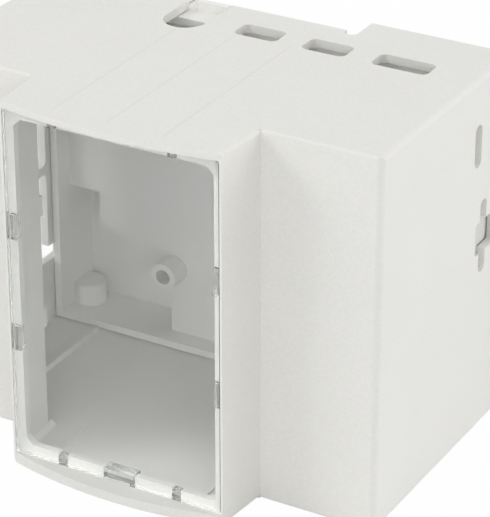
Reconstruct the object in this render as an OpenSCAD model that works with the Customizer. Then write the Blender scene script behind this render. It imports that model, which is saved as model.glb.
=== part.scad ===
// Modular DIN rail enclosure, four modules wide.
// It stands on one side plate: X runs between the two end walls, Y runs from the
// clear front window (-Y) to the rail (+Y), and Z runs along the rail.

/* [Enclosure] */
// Number of modules along the rail
modules = 4; // [4:1:8]
// Width of one module
module_pitch = 17.5; // [17.5:0.1:18]
// Added to the row of modules
width_extra = 1; // [0:0.1:2]
// Length over the two end walls
length = 90; // [88:1:110]
// Rail seat to the shoulders
shoulder_h = 44; // [42:0.5:55]
// Rail seat to the crown of the nose
nose_h = 58; // [57:0.5:64]
// How far the feet reach behind the rail seat
foot_h = 5; // [4.8:0.1:7]

/* [Housing walls] */
// Thickness of the plates and end walls
wall = 1.6; // [1.4:0.1:2]
// Thickness of the nose's side walls
nose_wall = 1; // [0.9:0.1:1.4]
// Radius of the upright edges of the end walls
edge_r = 1.3; // [0.8:0.1:1.8]
// Radius of the edges round the end walls' top and bottom
rim_r = 1.0; // [0.6:0.1:1.4]
// Radius of the shoulders' long edges
shoulder_r = 0.6; // [0.4:0.1:1]

/* [Nose] */
// Length of the nose at the shoulders
nose_l = 45; // [43:0.5:50]
// Draft of the nose's two side walls, in degrees
nose_draft = 5; // [3:0.5:6]
// Crown of the two curved lips past the flat front
lip_crown = 2.8; // [2:0.1:3.5]
// Thickness of the upper lip at the flat front
lip_top_t = 1.5; // [1.4:0.1:1.8]
// Thickness of the lower lip at the flat front
lip_bottom_t = 2.2; // [2:0.1:2.6]
// Taper of the lips towards their front edges, in degrees
lip_draft = 8; // [4:1:10]
// Radius of the nose's long edges
nose_edge_r = 0.8; // [0.4:0.1:0.9]
// Height of the tongues on the nose's rear edges
tongue_w = 3.8; // [3:0.1:5]

/* [Window opening] */
// Thickness of the clear window
window_t = 1.2; // [1:0.1:1.6]
// Width of the rim beside the opening
rim_side = 1.6; // [1.4:0.1:2.2]
// Width of the rim over the opening
rim_top = 2; // [1.8:0.1:2.4]
// Width of the rim under the opening
rim_bottom = 1.7; // [1.4:0.1:2.4]
// Depth of the window's seat behind the flat front
seat_depth = 1.6; // [1.6:0.1:2]
// Thickness of the rim
rim_t = 1.3; // [1:0.1:1.8]
// Gap round the window
window_gap = 0.12; // [0.08:0.01:0.2]
// Chamfer of the opening's corners
opening_chamfer = 1.4; // [1:0.1:1.6]

/* [Window legs] */
// Height of each side leg
side_leg_w = 4.8; // [4:0.1:5.4]
// Distance between the two legs on a side
side_leg_pitch = 21.7; // [18:0.1:26]
// Width of each top and bottom peg
peg_w = 1.5; // [1.2:0.1:2]
// Distance between the two pegs on an edge
peg_pitch = 23.4; // [20:0.1:26]
// Width of the latch at the foot of the window
latch_w = 6.1; // [5.5:0.1:7]
// Depth of the latch behind the window
latch_d = 2.4; // [2:0.1:4]

/* [Vents and slots] */
// Width of the side plates' slots
vent_w = 5; // [4:0.1:6]
// Length of the short slots
vent_l = 8.6; // [7:0.1:9.5]
// Length of the long slots
vent_long_l = 10.8; // [9:0.1:12]
// Distance from the slots' inner edge to the rail seat
vent_setback = 6.2; // [5.8:0.1:7]
// Radius of the round-ended mouth beside the rail
mouth_r = 4.05; // [3.6:0.05:4.4]
// Depth of the mouth's straight sides in front of the rail seat
mouth_d = 9.7; // [9:0.1:11]
// Width of the vents in the end wall
end_vent_w = 5; // [4:0.1:6]
// Distance from the end vents' inner edge to the rail seat
end_vent_setback = 9.4; // [9:0.1:10]

/* [Base] */
// Height of the base's rim in front of the rail seat
base_h = 8; // [7.6:0.1:8.4]
// Height of the rim's low side, next to the slotted plate
base_low_h = 5.6; // [5:0.1:7]
// Thickness of the base's rim and floors
base_t = 1.4; // [1.2:0.1:1.8]
// Gap between the base and the housing
base_gap = 0.3; // [0.2:0.02:0.4]
// Distance from the raised floor to the rail seat
deck_h = 4; // [3.8:0.1:4.4]
// Outer radius of the board posts
post_r = 2.7; // [2.4:0.1:3]
// Radius of the posts' screw holes
post_hole_r = 1.5; // [1.2:0.05:1.8]
// Height of the board posts
post_h = 4.4; // [4:0.1:5]
// Spacing of the posts along the enclosure
post_pitch_x = 36.7; // [36:0.1:38]
// Spacing of the posts along the rail
post_pitch_z = 37.2; // [36:0.1:44]

/* [Rail and foot] */
// Width of the rail
rail_w = 35; // [34.8:0.1:35.2]
// Thickness of the rail's flange
rail_t = 1; // [0.9:0.1:1.2]
// Gap at each side of the rail
rail_gap = 0.1; // [0.05:0.05:0.3]
// Reach of the hooks behind the rail's flange
hook_reach = 1.4; // [1:0.1:1.8]
// Travel of the sliding foot
foot_travel = 3; // [2:0.1:3.2]
// Width of the sliding foot's plate
foot_w = 13.8; // [12:0.1:14.4]
// Thickness of the sliding foot's plate
foot_t = 2.1; // [1.8:0.1:2.2]
// Gap round the sliding foot
foot_gap = 0.2; // [0.15:0.05:0.3]
// Offset of the sliding foot from mid width
foot_offset = 4.2; // [0:0.1:5]

/* [Hidden] */

grey = [0.84, 0.84, 0.82];
clear = [0.85, 0.92, 0.93, 0.35];

width = modules * module_pitch + width_extra;
mid_z = width / 2;
past = 1;                                   // how far a cut runs past a face
rail_y = (nose_h + foot_h) / 2 - foot_h;    // rail seat
back_y = rail_y + foot_h;
shoulder_y = rail_y - shoulder_h;
crown_y = rail_y - nose_h;
front_y = crown_y + lip_crown;              // flat front of the nose
end_x = length / 2;
inner_x = end_x - wall;

// nose
nose_x = nose_l / 2;
slope = tan(nose_draft);
function nose_half(y) = nose_x - (shoulder_y - y) * slope;
front_x = nose_half(front_y);
crown_r = (front_x * front_x + lip_crown * lip_crown) / (2 * lip_crown);
lip_top_z = width - lip_top_t;

// window seat
seat_y = front_y + seat_depth;
seat_x = front_x - 0.42;                    // thin edge left beside the window
rim_back_y = seat_y + rim_t;
open_x = seat_x - rim_side;
open_z0 = lip_bottom_t + rim_bottom;
open_z1 = lip_top_z - rim_top;
leg_z = (lip_bottom_t + lip_top_z) / 2 + 0.3;   // middle between a side's two legs
notch_z = lip_bottom_t / 2;                 // foot of the cuts for pegs and latch

// base
base_x = inner_x - base_gap;
base_z0 = wall + base_gap;
base_z1 = width - base_z0;
base_y = rail_y - base_h;
base_low_y = rail_y - base_low_h;
deck_y = rail_y - deck_h;
floor_y = back_y - wall;                    // deep floor in the feet
recess_x = rail_w / 2 + rail_gap;
deck_x = recess_x + wall;
post_y = deck_y - post_h;

// snap slots in the end walls, and the base's lugs in them
snap_y = [rail_y - 8.9, rail_y - 6];        // foot end, vented end
snap_w = 2.7;
snap_l = 8.1;
snap_z = mid_z + 18.7;

// half heights of the raised floor over the fixed hook
chute_tail = 6.5;
chute_waist = 12.5;
chute_flare = 17;

// sliding foot and its chute
foot_z = mid_z + foot_offset;
chute_roof_t = wall;
foot_y1 = rail_y - 3.3;                     // rail side of the foot's plate
foot_y0 = foot_y1 - foot_t;
chute_y = foot_y0 - foot_gap;
foot_tail_w = 5.4;
foot_tail_x = end_x - 1.5;
hook_y = rail_y + rail_t + 0.2;             // hooks start behind the flange

$fn = 48;

// ---------- helpers ----------
module block(x, y, z) {
    translate([x[0], y[0], z[0]])
        cube([x[1] - x[0], y[1] - y[0], z[1] - z[0]]);
}

// a flat outline in (y, z), drawn out along X
module along_x(x0, x1) {
    translate([x0, 0, 0]) rotate([90, 0, 90]) linear_extrude(x1 - x0) children();
}

// a flat outline in (x, z), drawn out along Y
module along_y(y0, y1) {
    translate([0, y1, 0]) rotate([90, 0, 0]) linear_extrude(y1 - y0) children();
}

// a flat outline in (x, y), drawn out along Z
module along_z(z0, z1) {
    translate([0, 0, z0]) linear_extrude(z1 - z0) children();
}

// rectangle between two corners with four round corners
module soft_rect(a, b, r) {
    translate([a[0] + r, a[1]]) square([b[0] - a[0] - 2 * r, b[1] - a[1]]);
    translate([a[0], a[1] + r]) square([b[0] - a[0], b[1] - a[1] - 2 * r]);
    for (x = [a[0] + r, b[0] - r], y = [a[1] + r, b[1] - r])
        translate([x, y]) circle(r);
}

module both_ends() {
    children();
    mirror([1, 0, 0]) children();
}

// ---------- housing ----------
// outer form behind the shoulders, with soft edges on three sides
module body_form() {
    intersection() {
        along_z(0, width)
            soft_rect([-end_x, shoulder_y], [end_x, back_y + 2 * edge_r], edge_r);
        along_x(-end_x, end_x)
            soft_rect([shoulder_y, 0], [back_y + 2 * edge_r, width], shoulder_r);
        along_y(shoulder_y, back_y)
            soft_rect([-end_x, 0], [end_x, width], rim_r);
    }
}

// drafted outline of the nose in plan, between the shoulders and y
module nose_plan(y, inset) {
    root = shoulder_y + wall;
    polygon([[-nose_x + inset, root], [-nose_x + inset, shoulder_y],
             [-nose_half(y) + inset, y], [nose_half(y) - inset, y],
             [nose_x - inset, shoulder_y], [nose_x - inset, root]]);
}

// takes the sharp edge off one long side of the nose, along its draft
module nose_edge() {
    r = nose_edge_r;
    translate([nose_x, shoulder_y, 0]) rotate([90, 0, -nose_draft])
        translate([0, 0, r * slope]) linear_extrude(nose_h) difference() {
            translate([-r, -past]) square([r + past, r + past]);
            translate([-r, r]) circle(r);
        }
}

module nose_form() {
    difference() {
        along_z(0, width) intersection() {
            nose_plan(crown_y, 0);
            translate([0, crown_y + crown_r]) circle(crown_r, $fn = 180);
        }
        both_ends() nose_edge();
        both_ends() translate([0, 0, width]) mirror([0, 0, 1]) nose_edge();
    }
}

// room inside the nose, from the window rim back to the main cavity
module nose_room() {
    along_z(wall, width - wall) nose_plan(rim_back_y, nose_wall);
    // the inner corner between nose and shoulder follows the outer one
    both_ends() difference() {
        block([nose_x - nose_wall - past, nose_x],
              [shoulder_y, shoulder_y + wall + past], [wall, width - wall]);
        translate([nose_x, shoulder_y, 0]) cylinder(r = nose_wall, h = width);
    }
}

// bars across the inner corners of the nose, following its draft
module corner_bars() {
    side = 1.3;
    bar = [nose_wall - past - 1.6, 8];      // from behind the shoulder to the front
    both_ends() for (z = [wall, width - wall])
        translate([nose_x - nose_wall, shoulder_y, z]) rotate([0, 0, -nose_draft])
            rotate([0, 45, 0]) translate([-side / 2, -bar[1], -side / 2])
                cube([side, bar[1] - bar[0], side]);
}

// the opening in the rim, with its corners cut off
module opening_outline() {
    c = opening_chamfer;
    d = 0.5;                                // the lower corner at the foot end is sharper
    polygon([[-open_x + c, open_z0], [open_x - d, open_z0], [open_x, open_z0 + d],
             [open_x, open_z1 - c], [open_x - c, open_z1], [-open_x + c, open_z1],
             [-open_x, open_z1 - c], [-open_x, open_z0 + c]]);
}

// places of the window's side legs, as z
function side_leg_z() = [leg_z - side_leg_pitch / 2, leg_z + side_leg_pitch / 2];

// cuts in the rim that the window's legs, pegs and latch pass through
module rim_cuts() {
    g = window_gap;
    y = [seat_y - past, rim_back_y + past];
    for (z = side_leg_z())
        both_ends() block([open_x - past, seat_x - 0.2], y,
                          [z - side_leg_w / 2 - g, z + side_leg_w / 2 + g]);
    for (s = [-1, 1]) {
        x = [s * peg_pitch / 2 - peg_w / 2 - g, s * peg_pitch / 2 + peg_w / 2 + g];
        block(x, y, [notch_z, open_z0 + past]);
        block(x, y, [open_z1 - past, open_z1 + rim_top - 0.3]);
    }
    block([-latch_w / 2 - g, latch_w / 2 + g], y, [notch_z + g, open_z0 + past]);
}

module window_seat() {
    // everything between the two tapered lips, in front of the flat face
    reach = lip_crown + past;
    taper = reach * tan(lip_draft);
    along_x(-nose_x, nose_x)
        polygon([[front_y - reach, lip_bottom_t - taper], [front_y, lip_bottom_t],
                 [front_y, lip_top_z], [front_y - reach, lip_top_z + taper]]);
    // the pocket that the window lies in
    along_y(front_y - past, seat_y)
        soft_rect([-seat_x, lip_bottom_t], [seat_x, lip_top_z], 0.6);
    along_y(front_y, rim_back_y + past) opening_outline();
    rim_cuts();
}

// slots in a side plate, next to the rail
module plate_slots() {
    y0 = rail_y - vent_setback - vent_w;
    for (v = [[-1.8, vent_l], [11.7, vent_l], [25.4, vent_long_l]])
        soft_rect([v[0], y0], [v[0] + v[1], y0 + vent_w], 1.3);
}

// round-ended mouth that opens into the rail recess
module mouth() {
    translate([-12.2, rail_y - mouth_d]) {
        circle(mouth_r);
        translate([-mouth_r, 0]) square([2 * mouth_r, mouth_d + past]);
    }
}

module rail_recess() {
    translate([-recess_x, rail_y]) square([2 * recess_x, foot_h + past]);
    // undercut at the recess's corners, so that the rail seats flat
    for (s = [-1, 1])
        translate([s * (recess_x - 1.2), rail_y]) {
            circle(1.2);
            translate([-1.2, 0]) square([2.4, 1.2]);
            translate([0, -0.4]) circle(1.2);
        }
}

// stadium slot in (y, z), between two corners
module stadium(a, b) {
    soft_rect(a, b, (b[0] - a[0]) / 2 - 0.01);
}

// slots in the end wall where the sliding foot comes out
module foot_end_slots() {
    stadium([snap_y[0], snap_z], [snap_y[0] + snap_w, snap_z + snap_l]);
    stadium([foot_y0 - foot_gap, foot_z - foot_w / 2 - 0.3],
            [foot_y1 + foot_gap, foot_z + foot_w / 2 + 0.3]);
    soft_rect([foot_y0 - 1.9, foot_z - 3.15], [rail_y + 1, foot_z + 3.15], 0.8);
}

// vents in the other end wall, the lower one stepped at its foot
module vent_end_slots() {
    y1 = rail_y - end_vent_setback;
    y0 = y1 - end_vent_w;
    soft_rect([y0, mid_z - 0.7], [y1, mid_z + 16.3], 1.2);
    soft_rect([y0, mid_z - 21], [y1, mid_z - 2.5], 0.8);
    translate([y0 + past, mid_z - 21]) square([end_vent_w + 2.8, 3.1]);
    stadium([snap_y[1], snap_z], [snap_y[1] + snap_w, snap_z + snap_l]);
}

// low ribs on the inside of the two side plates
module plate_ribs() {
    root = 0.1;                             // how far a rib reaches into its plate
    end_rib = [1, 1.2];                     // thickness and height
    line_rib = [0.4, 0.3];
    top_rib = [1, 0.8];
    end_rib_x = inner_x - 10.7;
    line_rib_x = nose_x - 7.5;
    both_ends() block([end_rib_x, end_rib_x + end_rib[0]],
                      [shoulder_y + wall, base_y - 1], [wall - root, wall + end_rib[1]]);
    both_ends() block([line_rib_x, line_rib_x + line_rib[0]], [rim_back_y, shoulder_y + 4],
                      [wall - root, wall + line_rib[1]]);
    for (x = [-11, 0, 11])
        block([x - top_rib[0] / 2, x + top_rib[0] / 2], [rim_back_y, base_y - 1],
              [width - wall - top_rib[1], width - wall + root]);
}

// small tongues on the rear edge of the nose's side walls
module nose_tongues() {
    both_ends() for (z = [mid_z - 11.5, mid_z + 10.6])
        block([nose_x - nose_wall, nose_x - 0.1], [shoulder_y, shoulder_y + 1.2],
              [z - tongue_w / 2, z + tongue_w / 2]);
}

module housing() {
    color(grey) difference() {
        union() {
            difference() {
                union() {
                    body_form();
                    nose_form();
                }
                block([-inner_x, inner_x], [shoulder_y + wall, back_y + past],
                      [wall, width - wall]);
                nose_room();
                window_seat();
            }
            plate_ribs();
            nose_tongues();
            corner_bars();
        }
        along_z(-past, width + past) rail_recess();
        along_z(-past, width + past) plate_slots();
        along_z(width - wall - past, width + past) mouth();
        along_x(inner_x - past, end_x + past) foot_end_slots();
        along_x(-end_x - past, -inner_x + past) vent_end_slots();
    }
}

// ---------- base ----------
// half outline of a raised housing over a foot, in (x, z), centred on z = 0
module chute_outline(tail, waist, flare, grow) {
    x0 = deck_x - past;
    x1 = deck_x + 1 + grow;
    x2 = deck_x + 14.6 + grow;
    x3 = deck_x + 15.7 + grow;
    x4 = base_x - base_t + past;
    polygon([[x0, -flare], [x1, -flare], [x2, -waist - 1], [x3, -waist], [x3, -tail],
             [x4, -tail], [x4, tail], [x3, tail], [x3, waist], [x2, waist + 1],
             [x1, flare], [x0, flare]]);
}

// the left end's raised floor, over the fixed hook
module left_chute(tail, waist, flare, grow) {
    translate([0, 0, mid_z]) mirror([1, 0, 0])
        along_y(deck_y, back_y) chute_outline(tail, waist, flare, grow);
}

module base_solid() {
    difference() {
        block([-base_x, base_x], [base_y, back_y], [base_z0, base_z1]);
        // the tray, open to the front
        difference() {
            block([-base_x + base_t, base_x - base_t], [base_y - past, floor_y],
                  [base_z0 + base_t, base_z1 - base_t]);
            block([-deck_x, deck_x], [deck_y, back_y], [0, width]);
            left_chute(chute_tail, chute_waist, chute_flare, 0);
            block([deck_x - 6, base_x], [chute_y - chute_roof_t, back_y],
                  [foot_z - foot_w / 2 - base_t - 6, foot_z + foot_w / 2 + base_t + 6]);
        }
    }
}

// hollows on the rail side
module base_hollows() {
    back = [deck_y + wall, back_y + past];
    block([-recess_x, recess_x], back, [base_z0 + base_t, base_z1 - base_t]);
    block([-recess_x, recess_x], [rail_y, back_y + past], [0, width]);
    // under the left chute, behind the fixed hook's wall
    difference() {
        translate([0, wall, 0])
            left_chute(chute_tail - base_t, chute_waist - base_t, chute_flare - base_t, -base_t);
        block([-deck_x, 0], [deck_y, back_y + 2 * past], [0, width]);
        block([-base_x, 0], [floor_y, back_y + 2 * past], [0, width]);
    }
}

// the room that the sliding foot runs in
module foot_chute() {
    g = foot_gap;
    y = [chute_y, foot_y1 + g];
    block([recess_x - 5, base_x + past], y, [foot_z - foot_w / 2 - g, foot_z + foot_w / 2 + g]);
    block([deck_x + 3, base_x - base_t - 6], y,
          [foot_z - foot_w / 2 - 6, foot_z + foot_w / 2 + 6]);
    block([recess_x - 5, deck_x + 3.6 + foot_travel], [chute_y, back_y + past],
          [foot_z - foot_w / 2 - g, foot_z + foot_w / 2 + g]);
    // the tail's rib runs out through the rim
    block([deck_x + 3, base_x + past], [foot_y0 - 1.9, rail_y + 0.6],
          [foot_z - 3.15, foot_z + 3.15]);
}

// one cylinder at each board post, between two depths
module post_rods(r, y0, y1) {
    for (x = [-post_pitch_x / 2, post_pitch_x / 2])
        for (z = [mid_z - post_pitch_z / 2, mid_z + post_pitch_z / 2])
            translate([x, y1, z]) rotate([90, 0, 0]) cylinder(r = r, h = y1 - y0);
}

// ribs that the rail lies on
module rail_ribs() {
    for (x = [-12, -4, 4, 12])
        block([x - 0.7, x + 0.7], [deck_y + wall - 0.1, rail_y], [base_z0 + 0.5, base_z1 - 0.5]);
}

// the fixed hook that takes one edge of the rail
module fixed_hook() {
    z = [mid_z - 6.5, mid_z + 6.5];
    translate([0, 0, z[0]]) linear_extrude(z[1] - z[0])
        polygon([[-recess_x - 0.6, hook_y], [-recess_x + hook_reach, hook_y],
                 [-recess_x + hook_reach, hook_y + 0.9], [-recess_x + 0.2, back_y],
                 [-recess_x - 0.6, back_y]]);
}

// lugs on the rim's ends that snap into the housing's end walls
module snap_lug(x0, x1, y) {
    lug_w = 1.3;
    translate([0, 0, snap_z + 1]) linear_extrude(snap_l - 2)
        polygon([[x0, y], [x1, y + 0.5], [x1, y + lug_w], [x0, y + lug_w]]);
}

// short stubs on the inside of the rim
module rim_stubs() {
    stub_r = 3.2;
    stub_h = 4.4;
    both_ends()
        translate([base_x - base_t - 2.1, floor_y - 4.4, base_z0 + base_t - 0.1])
            cylinder(r = stub_r, h = stub_h);
}

module base() {
    low_x = base_x - base_t - 2;            // half length of the rim's low side
    strip = [-14.6, -8.4];                  // strip across the housing's mouth
    color(grey) difference() {
        union() {
            difference() {
                union() {
                    base_solid();
                    post_rods(post_r, post_y, floor_y + 0.1);
                }
                base_hollows();
                block([-low_x, low_x], [base_y - past, base_low_y],
                      [base_z1 - base_t - past, width]);
            }
            rail_ribs();
            fixed_hook();
            rim_stubs();
            snap_lug(-base_x + 0.1, -end_x + 0.5, snap_y[1] + snap_w / 2 - 0.65);
            block(strip, [rail_y - 1.4, rail_y], [base_z1 - 0.5, width - 0.1]);
        }
        foot_chute();
        post_rods(post_hole_r, post_y - past, deck_y + 0.6);
    }
}

// ---------- clear front window ----------
module front_window() {
    g = window_gap;
    pane_y = front_y + window_t;
    leg_y = [pane_y - 0.2, rim_back_y - 0.1];
    color(clear) difference() {
        union() {
            along_y(front_y, pane_y)
                soft_rect([-seat_x + g, lip_bottom_t + g], [seat_x - g, lip_top_z - g], 0.5);
            // side legs
            for (z = side_leg_z())
                both_ends() block([open_x + 0.1, seat_x - 0.4], leg_y,
                                  [z - side_leg_w / 2, z + side_leg_w / 2]);
            // pegs at the top and bottom edges, their feet behind the pane
            for (s = [-1, 1]) {
                x = [s * peg_pitch / 2 - peg_w / 2, s * peg_pitch / 2 + peg_w / 2];
                block(x, leg_y, [open_z0 - 1.4, open_z0 - 0.2]);
                block(x, leg_y, [open_z1 + 0.1, open_z1 + 1.5]);
            }
            // latch
            block([-latch_w / 2, latch_w / 2], [pane_y - 0.2, pane_y + latch_d],
                  [lip_bottom_t + g, open_z0 + 0.1]);
        }
        // slot for a screwdriver's tip
        block([-2.7, 2.7], [front_y - past, front_y + 0.8],
              [lip_bottom_t, lip_bottom_t + g + 0.45]);
    }
}

// ---------- sliding foot ----------
// two bowed arms, one on each side of the plate
module spring_arms() {
    bow_r = 5.6;
    bow_t = 0.9;
    translate([deck_x + 9.2, 0, foot_z]) for (s = [0, 1]) mirror([0, 0, s])
        along_y(foot_y0, foot_y1) translate([0, foot_w / 2 - 0.4]) intersection() {
            difference() {
                circle(bow_r);
                circle(bow_r - bow_t);
            }
            polygon([[-bow_r - 1, -0.5], [0, -0.5], [3.6, 3.6], [3.6, 7], [-bow_r - 1, 7]]);
        }
}

module rail_foot() {
    half = foot_w / 2;
    nose_x0 = recess_x - hook_reach;
    color(grey) {
        block([nose_x0 + 1.4, deck_x + 12], [foot_y0, foot_y1], [foot_z - half, foot_z + half]);
        // round-edged tail that comes out through the end wall
        along_x(deck_x + 11, foot_tail_x)
            stadium([foot_y0, foot_z - half], [foot_y1, foot_z + half]);
        // rib on the tail
        block([deck_x + 6, foot_tail_x], [foot_y1 - 0.5, rail_y - 0.2],
              [foot_z - foot_tail_w / 2, foot_z + foot_tail_w / 2]);
        // hook behind the rail's flange
        translate([0, 0, foot_z - half]) linear_extrude(foot_w)
            polygon([[recess_x + 0.1, foot_y1 - 0.5], [recess_x + 0.1, hook_y],
                     [nose_x0, hook_y], [nose_x0, hook_y + 0.9],
                     [nose_x0 + 2.3, back_y - 0.3], [deck_x + 3, back_y - 0.3],
                     [deck_x + 3, foot_y1 - 0.5]]);
        spring_arms();
    }
}

housing();
base();
front_window();
rail_foot();
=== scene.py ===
# A modular DIN rail enclosure, dressed and lit.
# The four moulded pieces come from the imported part and keep their shapes. This
# script gives them their plastics, the base's made lighter as painted light, adds the
# fine moulding marks, the sink marks as painted shade, and sets up a pale studio
# round them. Lengths are in metres, angles in degrees.

import math

import bpy
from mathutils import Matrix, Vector


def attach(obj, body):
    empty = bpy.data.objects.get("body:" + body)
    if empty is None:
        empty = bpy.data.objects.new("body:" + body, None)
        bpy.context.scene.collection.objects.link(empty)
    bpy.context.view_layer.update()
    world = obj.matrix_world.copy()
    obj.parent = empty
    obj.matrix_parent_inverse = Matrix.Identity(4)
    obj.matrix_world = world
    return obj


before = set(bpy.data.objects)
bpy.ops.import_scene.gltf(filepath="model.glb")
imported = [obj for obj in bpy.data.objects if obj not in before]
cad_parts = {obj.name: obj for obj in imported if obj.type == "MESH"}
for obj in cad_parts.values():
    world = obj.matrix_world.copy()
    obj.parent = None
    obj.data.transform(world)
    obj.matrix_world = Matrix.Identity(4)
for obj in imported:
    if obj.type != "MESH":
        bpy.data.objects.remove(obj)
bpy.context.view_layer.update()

MM = 0.001
PLASTIC_IOR = 1.5


# ----------------------------------------------------------------- node helpers
def add_node(tree, kind, place, **values):
    """A node of one kind at a place in the editor, with named properties set."""
    node = tree.nodes.new(kind)
    node.location = place
    for name, value in values.items():
        setattr(node, name, value)
    return node


def feed(tree, socket, value):
    """Links a socket to another node's output, or gives it a plain value."""
    if isinstance(value, bpy.types.NodeSocket):
        tree.links.new(value, socket)
    else:
        socket.default_value = value


def add_math(tree, operation, place, *terms):
    """The result of one operation on numbers and on other nodes' outputs."""
    node = add_node(tree, "ShaderNodeMath", place, operation=operation)
    for socket, term in zip(node.inputs, terms):
        feed(tree, socket, term)
    return node.outputs[0]


def scaled_colour(tree, place, colour, factor):
    """A colour made lighter or darker by a factor."""
    node = add_node(tree, "ShaderNodeVectorMath", place, operation="SCALE")
    tree.links.new(colour, node.inputs[0])
    tree.links.new(factor, node.inputs["Scale"])
    return node.outputs[0]


def show_mix(tree, share, first, second, output):
    """Shows the second of two shaders by a share, and the first for the rest."""
    mix = add_node(tree, "ShaderNodeMixShader", (300, 0))
    tree.links.new(share, mix.inputs["Fac"])
    tree.links.new(first, mix.inputs[1])
    tree.links.new(second, mix.inputs[2])
    tree.links.new(mix.outputs["Shader"], output.inputs["Surface"])


def fresh_material(name, shown_colour):
    """An empty node material with its output, ready for a shader."""
    material = bpy.data.materials.new(name)
    material.use_nodes = True
    material.diffuse_color = (*shown_colour, 1.0)
    tree = material.node_tree
    tree.nodes.clear()
    output = add_node(tree, "ShaderNodeOutputMaterial", (600, 0))
    return material, tree, output


# ------------------------------------------------- shared effect: spark texture
FLOW_SCALE = 55.0       # broad marks left by the plastic's flow
FLOW_SHARE = 0.25       # how much they count beside the fine grain
GLOSS_SWING = 0.12      # how much the roughness moves with both


def spark_texture_group():
    """Fine spark-eroded texture of a moulded shell: colour, roughness, height."""
    group = bpy.data.node_groups.new("spark_texture", "ShaderNodeTree")
    face = group.interface
    for name, kind, default in (
        ("Plastic", "NodeSocketColor", (0.8, 0.8, 0.78, 1.0)),
        ("Mottle", "NodeSocketFloat", 0.02),
        ("Grain Scale", "NodeSocketFloat", 2600.0),
        ("Roughness", "NodeSocketFloat", 0.55),
    ):
        socket = face.new_socket(name, in_out="INPUT", socket_type=kind)
        socket.default_value = default
    face.new_socket("Color", in_out="OUTPUT", socket_type="NodeSocketColor")
    face.new_socket("Roughness", in_out="OUTPUT", socket_type="NodeSocketFloat")
    face.new_socket("Height", in_out="OUTPUT", socket_type="NodeSocketFloat")

    inputs = add_node(group, "NodeGroupInput", (-900, 0))
    outputs = add_node(group, "NodeGroupOutput", (700, 0))
    place = add_node(group, "ShaderNodeTexCoord", (-900, -300))

    grain = add_node(group, "ShaderNodeTexNoise", (-600, -260))
    grain.inputs["Detail"].default_value = 3.0
    grain.inputs["Roughness"].default_value = 0.6
    group.links.new(place.outputs["Object"], grain.inputs["Vector"])
    group.links.new(inputs.outputs["Grain Scale"], grain.inputs["Scale"])

    flow = add_node(group, "ShaderNodeTexNoise", (-600, -520))
    flow.inputs["Scale"].default_value = FLOW_SCALE
    flow.inputs["Detail"].default_value = 2.0
    group.links.new(place.outputs["Object"], flow.inputs["Vector"])

    # the colour grows a little lighter and darker with the flow and the grain
    both = add_math(group, "MULTIPLY_ADD", (-360, -380),
                    flow.outputs["Fac"], FLOW_SHARE, grain.outputs["Fac"])
    centred = add_math(group, "SUBTRACT", (-190, -380), both, 0.5 + 0.5 * FLOW_SHARE)
    swing = add_math(group, "MULTIPLY", (-20, -300), centred, inputs.outputs["Mottle"])
    level = add_math(group, "ADD", (150, -300), swing, 1.0)
    tint = scaled_colour(group, (320, 60), inputs.outputs["Plastic"], level)
    rough = add_math(group, "MULTIPLY_ADD", (320, -160),
                     centred, GLOSS_SWING, inputs.outputs["Roughness"])

    group.links.new(tint, outputs.inputs["Color"])
    group.links.new(rough, outputs.inputs["Roughness"])
    group.links.new(grain.outputs["Fac"], outputs.inputs["Height"])
    return group


spark_texture = spark_texture_group()


# --------------------------------------------------------------------- plastics
def moulded_plastic(name, colour, roughness, grain_scale, grain_depth, mottle):
    """Matt injection-moulded ABS with a fine texture."""
    material, tree, output = fresh_material(name, colour)
    shell = add_node(tree, "ShaderNodeGroup", (-400, 0))
    shell.node_tree = spark_texture
    shell.inputs["Plastic"].default_value = (*colour, 1.0)
    shell.inputs["Mottle"].default_value = mottle
    shell.inputs["Grain Scale"].default_value = grain_scale
    shell.inputs["Roughness"].default_value = roughness
    relief = add_node(tree, "ShaderNodeBump", (-120, -260))
    relief.inputs["Strength"].default_value = 0.35
    relief.inputs["Distance"].default_value = grain_depth
    surface = add_node(tree, "ShaderNodeBsdfPrincipled", (200, 0))
    surface.inputs["IOR"].default_value = PLASTIC_IOR
    surface.inputs["Specular IOR Level"].default_value = 0.4
    tree.links.new(shell.outputs["Color"], surface.inputs["Base Color"])
    tree.links.new(shell.outputs["Roughness"], surface.inputs["Roughness"])
    tree.links.new(shell.outputs["Height"], relief.inputs["Height"])
    tree.links.new(relief.outputs["Normal"], surface.inputs["Normal"])
    tree.links.new(surface.outputs["BSDF"], output.inputs["Surface"])
    return material


def clear_plastic(name):
    """Clear moulded polycarbonate that lets lamps through to what is behind it."""
    material, tree, output = fresh_material(name, (0.9, 0.93, 0.93))
    pane = add_node(tree, "ShaderNodeBsdfPrincipled", (0, 120))
    pane.inputs["Base Color"].default_value = (0.97, 0.98, 0.98, 1.0)
    pane.inputs["Roughness"].default_value = 0.0
    pane.inputs["IOR"].default_value = PLASTIC_IOR
    pane.inputs["Transmission Weight"].default_value = 1.0
    through = add_node(tree, "ShaderNodeBsdfTransparent", (0, -240))
    through.inputs["Color"].default_value = (0.97, 0.975, 0.975, 1.0)
    path = add_node(tree, "ShaderNodeLightPath", (-300, 300))
    show_mix(tree, path.outputs["Is Shadow Ray"],
             pane.outputs["BSDF"], through.outputs["BSDF"], output)
    return material


# name: colour, roughness, grain scale, grain depth, mottle
ABS_KINDS = {
    "housing_abs": ((0.83, 0.825, 0.793), 0.55, 2600.0, 0.06 * MM, 0.17),
    # the base's own pale grey, made lighter than the housing's plastic as painted light for
    # the inside seen through the window
    "base_abs_painted_light": ((0.9, 0.895, 0.868), 0.5, 2400.0, 0.04 * MM, 0.15),
    "foot_abs": ((0.70, 0.70, 0.675), 0.45, 1800.0, 0.02 * MM, 0.02),
}
plastics = {name: moulded_plastic(name, *look) for name, look in ABS_KINDS.items()}
plastics["window_pc"] = clear_plastic("window_pc")
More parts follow.
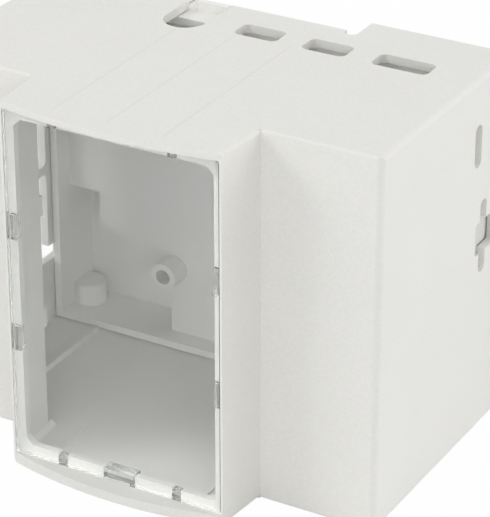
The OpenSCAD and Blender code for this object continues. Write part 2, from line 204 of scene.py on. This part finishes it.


# -------------------------------------------------- painted shade along the sink marks on the top plate
# the ribs under the plate leave faint marks on it, drawn here as painted shade in the
# plate's colour
SINK_MIDDLES = (-11.4 * MM, -0.8 * MM, 10.1 * MM)
SINK_HALF = 0.28 * MM               # half of a mark's width
SINK_FRONT, SINK_REAR = -29 * MM, 16.5 * MM
SINK_FADE_IN, SINK_FADE_OUT = 2 * MM, 4 * MM
TOP_LEVEL = 70.8 * MM
# how much painted shade darkens the colour along a sink mark
SINK_PAINTED_SHADE = 0.055


def eased_step(tree, value, low, high, place):
    """0 below low and 1 above high, eased between the two."""
    step = add_node(tree, "ShaderNodeMapRange", place, interpolation_type="SMOOTHSTEP")
    tree.links.new(value, step.inputs["Value"])
    step.inputs["From Min"].default_value = low
    step.inputs["From Max"].default_value = high
    return step.outputs["Result"]


def sink_painted_shade_mask(tree):
    """1 where painted shade goes along the sink marks of the top plate, 0 elsewhere."""
    place = add_node(tree, "ShaderNodeTexCoord", (-1900, -700))
    apart = add_node(tree, "ShaderNodeSeparateXYZ", (-1700, -700))
    tree.links.new(place.outputs["Object"], apart.inputs["Vector"])
    nearest = None
    for number, middle in enumerate(SINK_MIDDLES):
        row = -900 - 200 * number
        off = add_math(tree, "SUBTRACT", (-1500, row), apart.outputs["X"], middle)
        far = add_math(tree, "ABSOLUTE", (-1340, row), off)
        nearest = far if nearest is None else add_math(tree, "MINIMUM", (-1180, row),
                                                       nearest, far)
    beside = eased_step(tree, nearest, 0.3 * SINK_HALF, SINK_HALF, (-1000, -900))
    on_top = eased_step(tree, apart.outputs["Z"], TOP_LEVEL - 0.1 * MM, TOP_LEVEL,
                        (-1000, -1200))
    from_front = eased_step(tree, apart.outputs["Y"], SINK_FRONT, SINK_FRONT + SINK_FADE_IN,
                            (-1000, -1500))
    past_rear = eased_step(tree, apart.outputs["Y"], SINK_REAR - SINK_FADE_OUT, SINK_REAR,
                           (-1000, -1800))
    mask = add_math(tree, "SUBTRACT", (-820, -900), 1.0, beside)
    before_rear = add_math(tree, "SUBTRACT", (-820, -1800), 1.0, past_rear)
    for number, limit in enumerate((on_top, from_front, before_rear)):
        mask = add_math(tree, "MULTIPLY", (-640 + 160 * number, -1200), mask, limit)
    return mask


def paint_sink_shade(material):
    """Paints a little shade into a plastic's colour along the sink marks."""
    tree = material.node_tree
    surface = next(n for n in tree.nodes if n.type == "BSDF_PRINCIPLED")
    drawn = surface.inputs["Base Color"].links[0].from_socket
    # painted shade: the colour is darkened along the sink marks
    dimming = add_math(tree, "MULTIPLY_ADD", (-200, 300),
                       sink_painted_shade_mask(tree), -SINK_PAINTED_SHADE, 1.0)
    dimmed = scaled_colour(tree, (0, 300), drawn, dimming)
    tree.links.new(dimmed, surface.inputs["Base Color"])


# painted shade along the sink marks of the housing's top plate
paint_sink_shade(plastics["housing_abs"])


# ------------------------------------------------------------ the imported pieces
def dress(node, material):
    """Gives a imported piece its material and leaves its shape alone."""
    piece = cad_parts[node]
    piece.data.materials.clear()
    piece.data.materials.append(material)


dress("housing", plastics["housing_abs"])
# the base's plastic carries painted light: its colour is lighter than the housing's
dress("base", plastics["base_abs_painted_light"])
dress("rail_foot", plastics["foot_abs"])
dress("front_window", plastics["window_pc"])


# ------------------------------------------------------ gate mark on the window
GATE_MIDDLE = Vector((20.3, -28.83, 45.2)) * MM
GATE_RADIUS = 0.55 * MM
GATE_DEPTH = 0.25 * MM
GATE_RIM = 0.2 * MM
GATE_DIMPLE = 0.14 * MM
GATE_BEVEL = 0.06 * MM


def window_gate_mark():
    """The small dimpled button left by the mould's gate at the window's edge."""
    bpy.ops.object.select_all(action="DESELECT")
    bpy.ops.mesh.primitive_cylinder_add(vertices=40, radius=GATE_RADIUS, depth=GATE_DEPTH,
                                        location=GATE_MIDDLE,
                                        rotation=(math.radians(90), 0, 0))
    button = bpy.context.active_object
    button.name = "window_gate_mark"
    bpy.ops.object.transform_apply(location=True, rotation=True, scale=True)
    # the front face is inset and pushed in
    bpy.ops.object.mode_set(mode="EDIT")
    bpy.ops.mesh.select_mode(type="FACE")
    bpy.ops.mesh.select_all(action="DESELECT")
    bpy.ops.object.mode_set(mode="OBJECT")
    for face in button.data.polygons:
        face.select = face.normal.y < -0.9
    bpy.ops.object.mode_set(mode="EDIT")
    bpy.ops.mesh.inset(thickness=GATE_RIM)
    bpy.ops.transform.translate(value=(0.0, GATE_DIMPLE, 0.0))
    bpy.ops.object.mode_set(mode="OBJECT")
    soften = button.modifiers.new("soft_edges", "BEVEL")
    soften.width = GATE_BEVEL
    soften.segments = 3
    soften.limit_method = "ANGLE"
    bpy.ops.object.modifier_apply(modifier="soft_edges")
    bpy.ops.object.shade_smooth_by_angle(angle=math.radians(35))
    button.data.materials.append(plastics["window_pc"])
    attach(button, "window")


window_gate_mark()


# ----------------------------------------------------------- floor and backdrop
WHITE = (1.0, 1.0, 1.0, 1.0)
PAPER_GREY = (0.9, 0.9, 0.9)
PAPER_LIT_SHARE = 0.03              # how much of the floor shows the lamps' light
FLOOR_SIZE = 6.0
FLOOR_GAP = 0.2 * MM                # between the enclosure and the floor
AIR_STRENGTH = 0.48                 # light of the even surround


def shown_white(tree):
    """1 where a ray comes straight from the camera, off a mirror or through glass."""
    path = add_node(tree, "ShaderNodeLightPath", (-900, 300))
    through = add_math(tree, "MAXIMUM", (-650, 200),
                       path.outputs["Is Glossy Ray"], path.outputs["Is Transmission Ray"])
    unspread = add_math(tree, "LESS_THAN", (-650, 0), path.outputs["Diffuse Depth"], 0.5)
    kept = add_math(tree, "MULTIPLY", (-450, 100), through, unspread)
    return add_math(tree, "MAXIMUM", (-250, 300), path.outputs["Is Camera Ray"], kept)


def studio_white(name):
    """Pale paper that shows as white and still takes a soft shadow."""
    material, tree, output = fresh_material(name, PAPER_GREY)
    paper = add_node(tree, "ShaderNodeBsdfDiffuse", (0, 120))
    paper.inputs["Color"].default_value = (*PAPER_GREY, 1.0)
    glow = add_node(tree, "ShaderNodeEmission", (0, -120))
    glow.inputs["Color"].default_value = WHITE
    glow.inputs["Strength"].default_value = 1.0
    weight = add_math(tree, "MULTIPLY", (0, 300), shown_white(tree), 1.0 - PAPER_LIT_SHARE)
    show_mix(tree, weight, paper.outputs["BSDF"], glow.outputs["Emission"], output)
    return material


def lay_floor():
    """A wide sheet under the enclosure."""
    bpy.ops.object.select_all(action="DESELECT")
    bpy.ops.mesh.primitive_plane_add(size=FLOOR_SIZE, location=(0, 0, -FLOOR_GAP))
    sheet = bpy.context.active_object
    sheet.name = "studio_floor"
    bpy.ops.object.transform_apply(location=True, rotation=True, scale=True)
    sheet.data.materials.append(studio_white("studio_paper"))


def fill_the_air():
    """A dim even surround that shows as white behind the enclosure."""
    world = bpy.data.worlds.new("studio_air")
    bpy.context.scene.world = world
    world.use_nodes = True
    tree = world.node_tree
    tree.nodes.clear()
    output = add_node(tree, "ShaderNodeOutputWorld", (600, 0))
    air, white = (add_node(tree, "ShaderNodeBackground", (0, row)) for row in (120, -120))
    for light, strength in ((air, AIR_STRENGTH), (white, 1.0)):
        light.inputs["Color"].default_value = WHITE
        light.inputs["Strength"].default_value = strength
    show_mix(tree, shown_white(tree), air.outputs["Background"],
             white.outputs["Background"], output)


lay_floor()
fill_the_air()


# ------------------------------------------------------------------------ lamps
LAMP_AIM = Vector((0.0, 0.0, 0.035))
LAMP_DISTANCE = 1.3
# name: turn from the window towards the foot end, lift, size, watts
LAMPS = {
    "front_box": (0.0, 12.0, 0.4, 0.93),
    "key_box": (22.0, 19.0, 0.25, 0.55),
    "right_box": (42.0, 20.0, 0.25, 1.4),
    "left_box": (-50.0, 34.0, 0.5, 3.8),
    "rail_side_box": (125.0, 25.0, 0.9, 5.1),
    "ceiling_box": (30.0, 80.0, 0.9, 2.7),
}


def soft_lamp(name, turn, lift, size, watts):
    """A square soft box, turned towards the enclosure."""
    lamp = bpy.data.lights.new(name, "AREA")
    lamp.shape = "SQUARE"
    lamp.size = size
    lamp.energy = watts
    # keeps the light that comes through the clear window at its full strength
    lamp.cycles.use_multiple_importance_sampling = False
    turn, lift = math.radians(turn), math.radians(lift)
    away = Vector((math.sin(turn) * math.cos(lift),
                   -math.cos(turn) * math.cos(lift), math.sin(lift)))
    place = LAMP_AIM + LAMP_DISTANCE * away
    holder = bpy.data.objects.new(name, lamp)
    bpy.context.scene.collection.objects.link(holder)
    holder.location = place
    holder.rotation_mode = "QUATERNION"
    holder.rotation_quaternion = (LAMP_AIM - place).to_track_quat("-Z", "Y")


for lamp_name, setting in LAMPS.items():
    soft_lamp(lamp_name, *setting)


# ----------------------------------------------------------------------- camera
CAMERA_PLACE = (220.70 * MM, -370.17 * MM, 257.10 * MM)
CAMERA_TURN, CAMERA_DROP = math.radians(29.7006), math.radians(27.4215)
LENS_LENGTH = 189.83                # in millimetres, on a sensor 36 mm wide


def set_camera():
    """The three-quarter view from above, with a long lens."""
    lens = bpy.data.cameras.new("viewpoint")
    lens.sensor_width = 36.0
    lens.lens = LENS_LENGTH
    lens.clip_start = 0.01
    lens.clip_end = 20.0
    holder = bpy.data.objects.new("viewpoint", lens)
    bpy.context.scene.collection.objects.link(holder)
    holder.location = CAMERA_PLACE
    ahead = Vector((-math.sin(CAMERA_TURN) * math.cos(CAMERA_DROP),
                    math.cos(CAMERA_TURN) * math.cos(CAMERA_DROP),
                    -math.sin(CAMERA_DROP)))
    holder.rotation_mode = "QUATERNION"
    holder.rotation_quaternion = ahead.to_track_quat("-Z", "Y")
    bpy.context.scene.camera = holder


set_camera()
bpy.context.scene.view_settings.view_transform = "Standard"
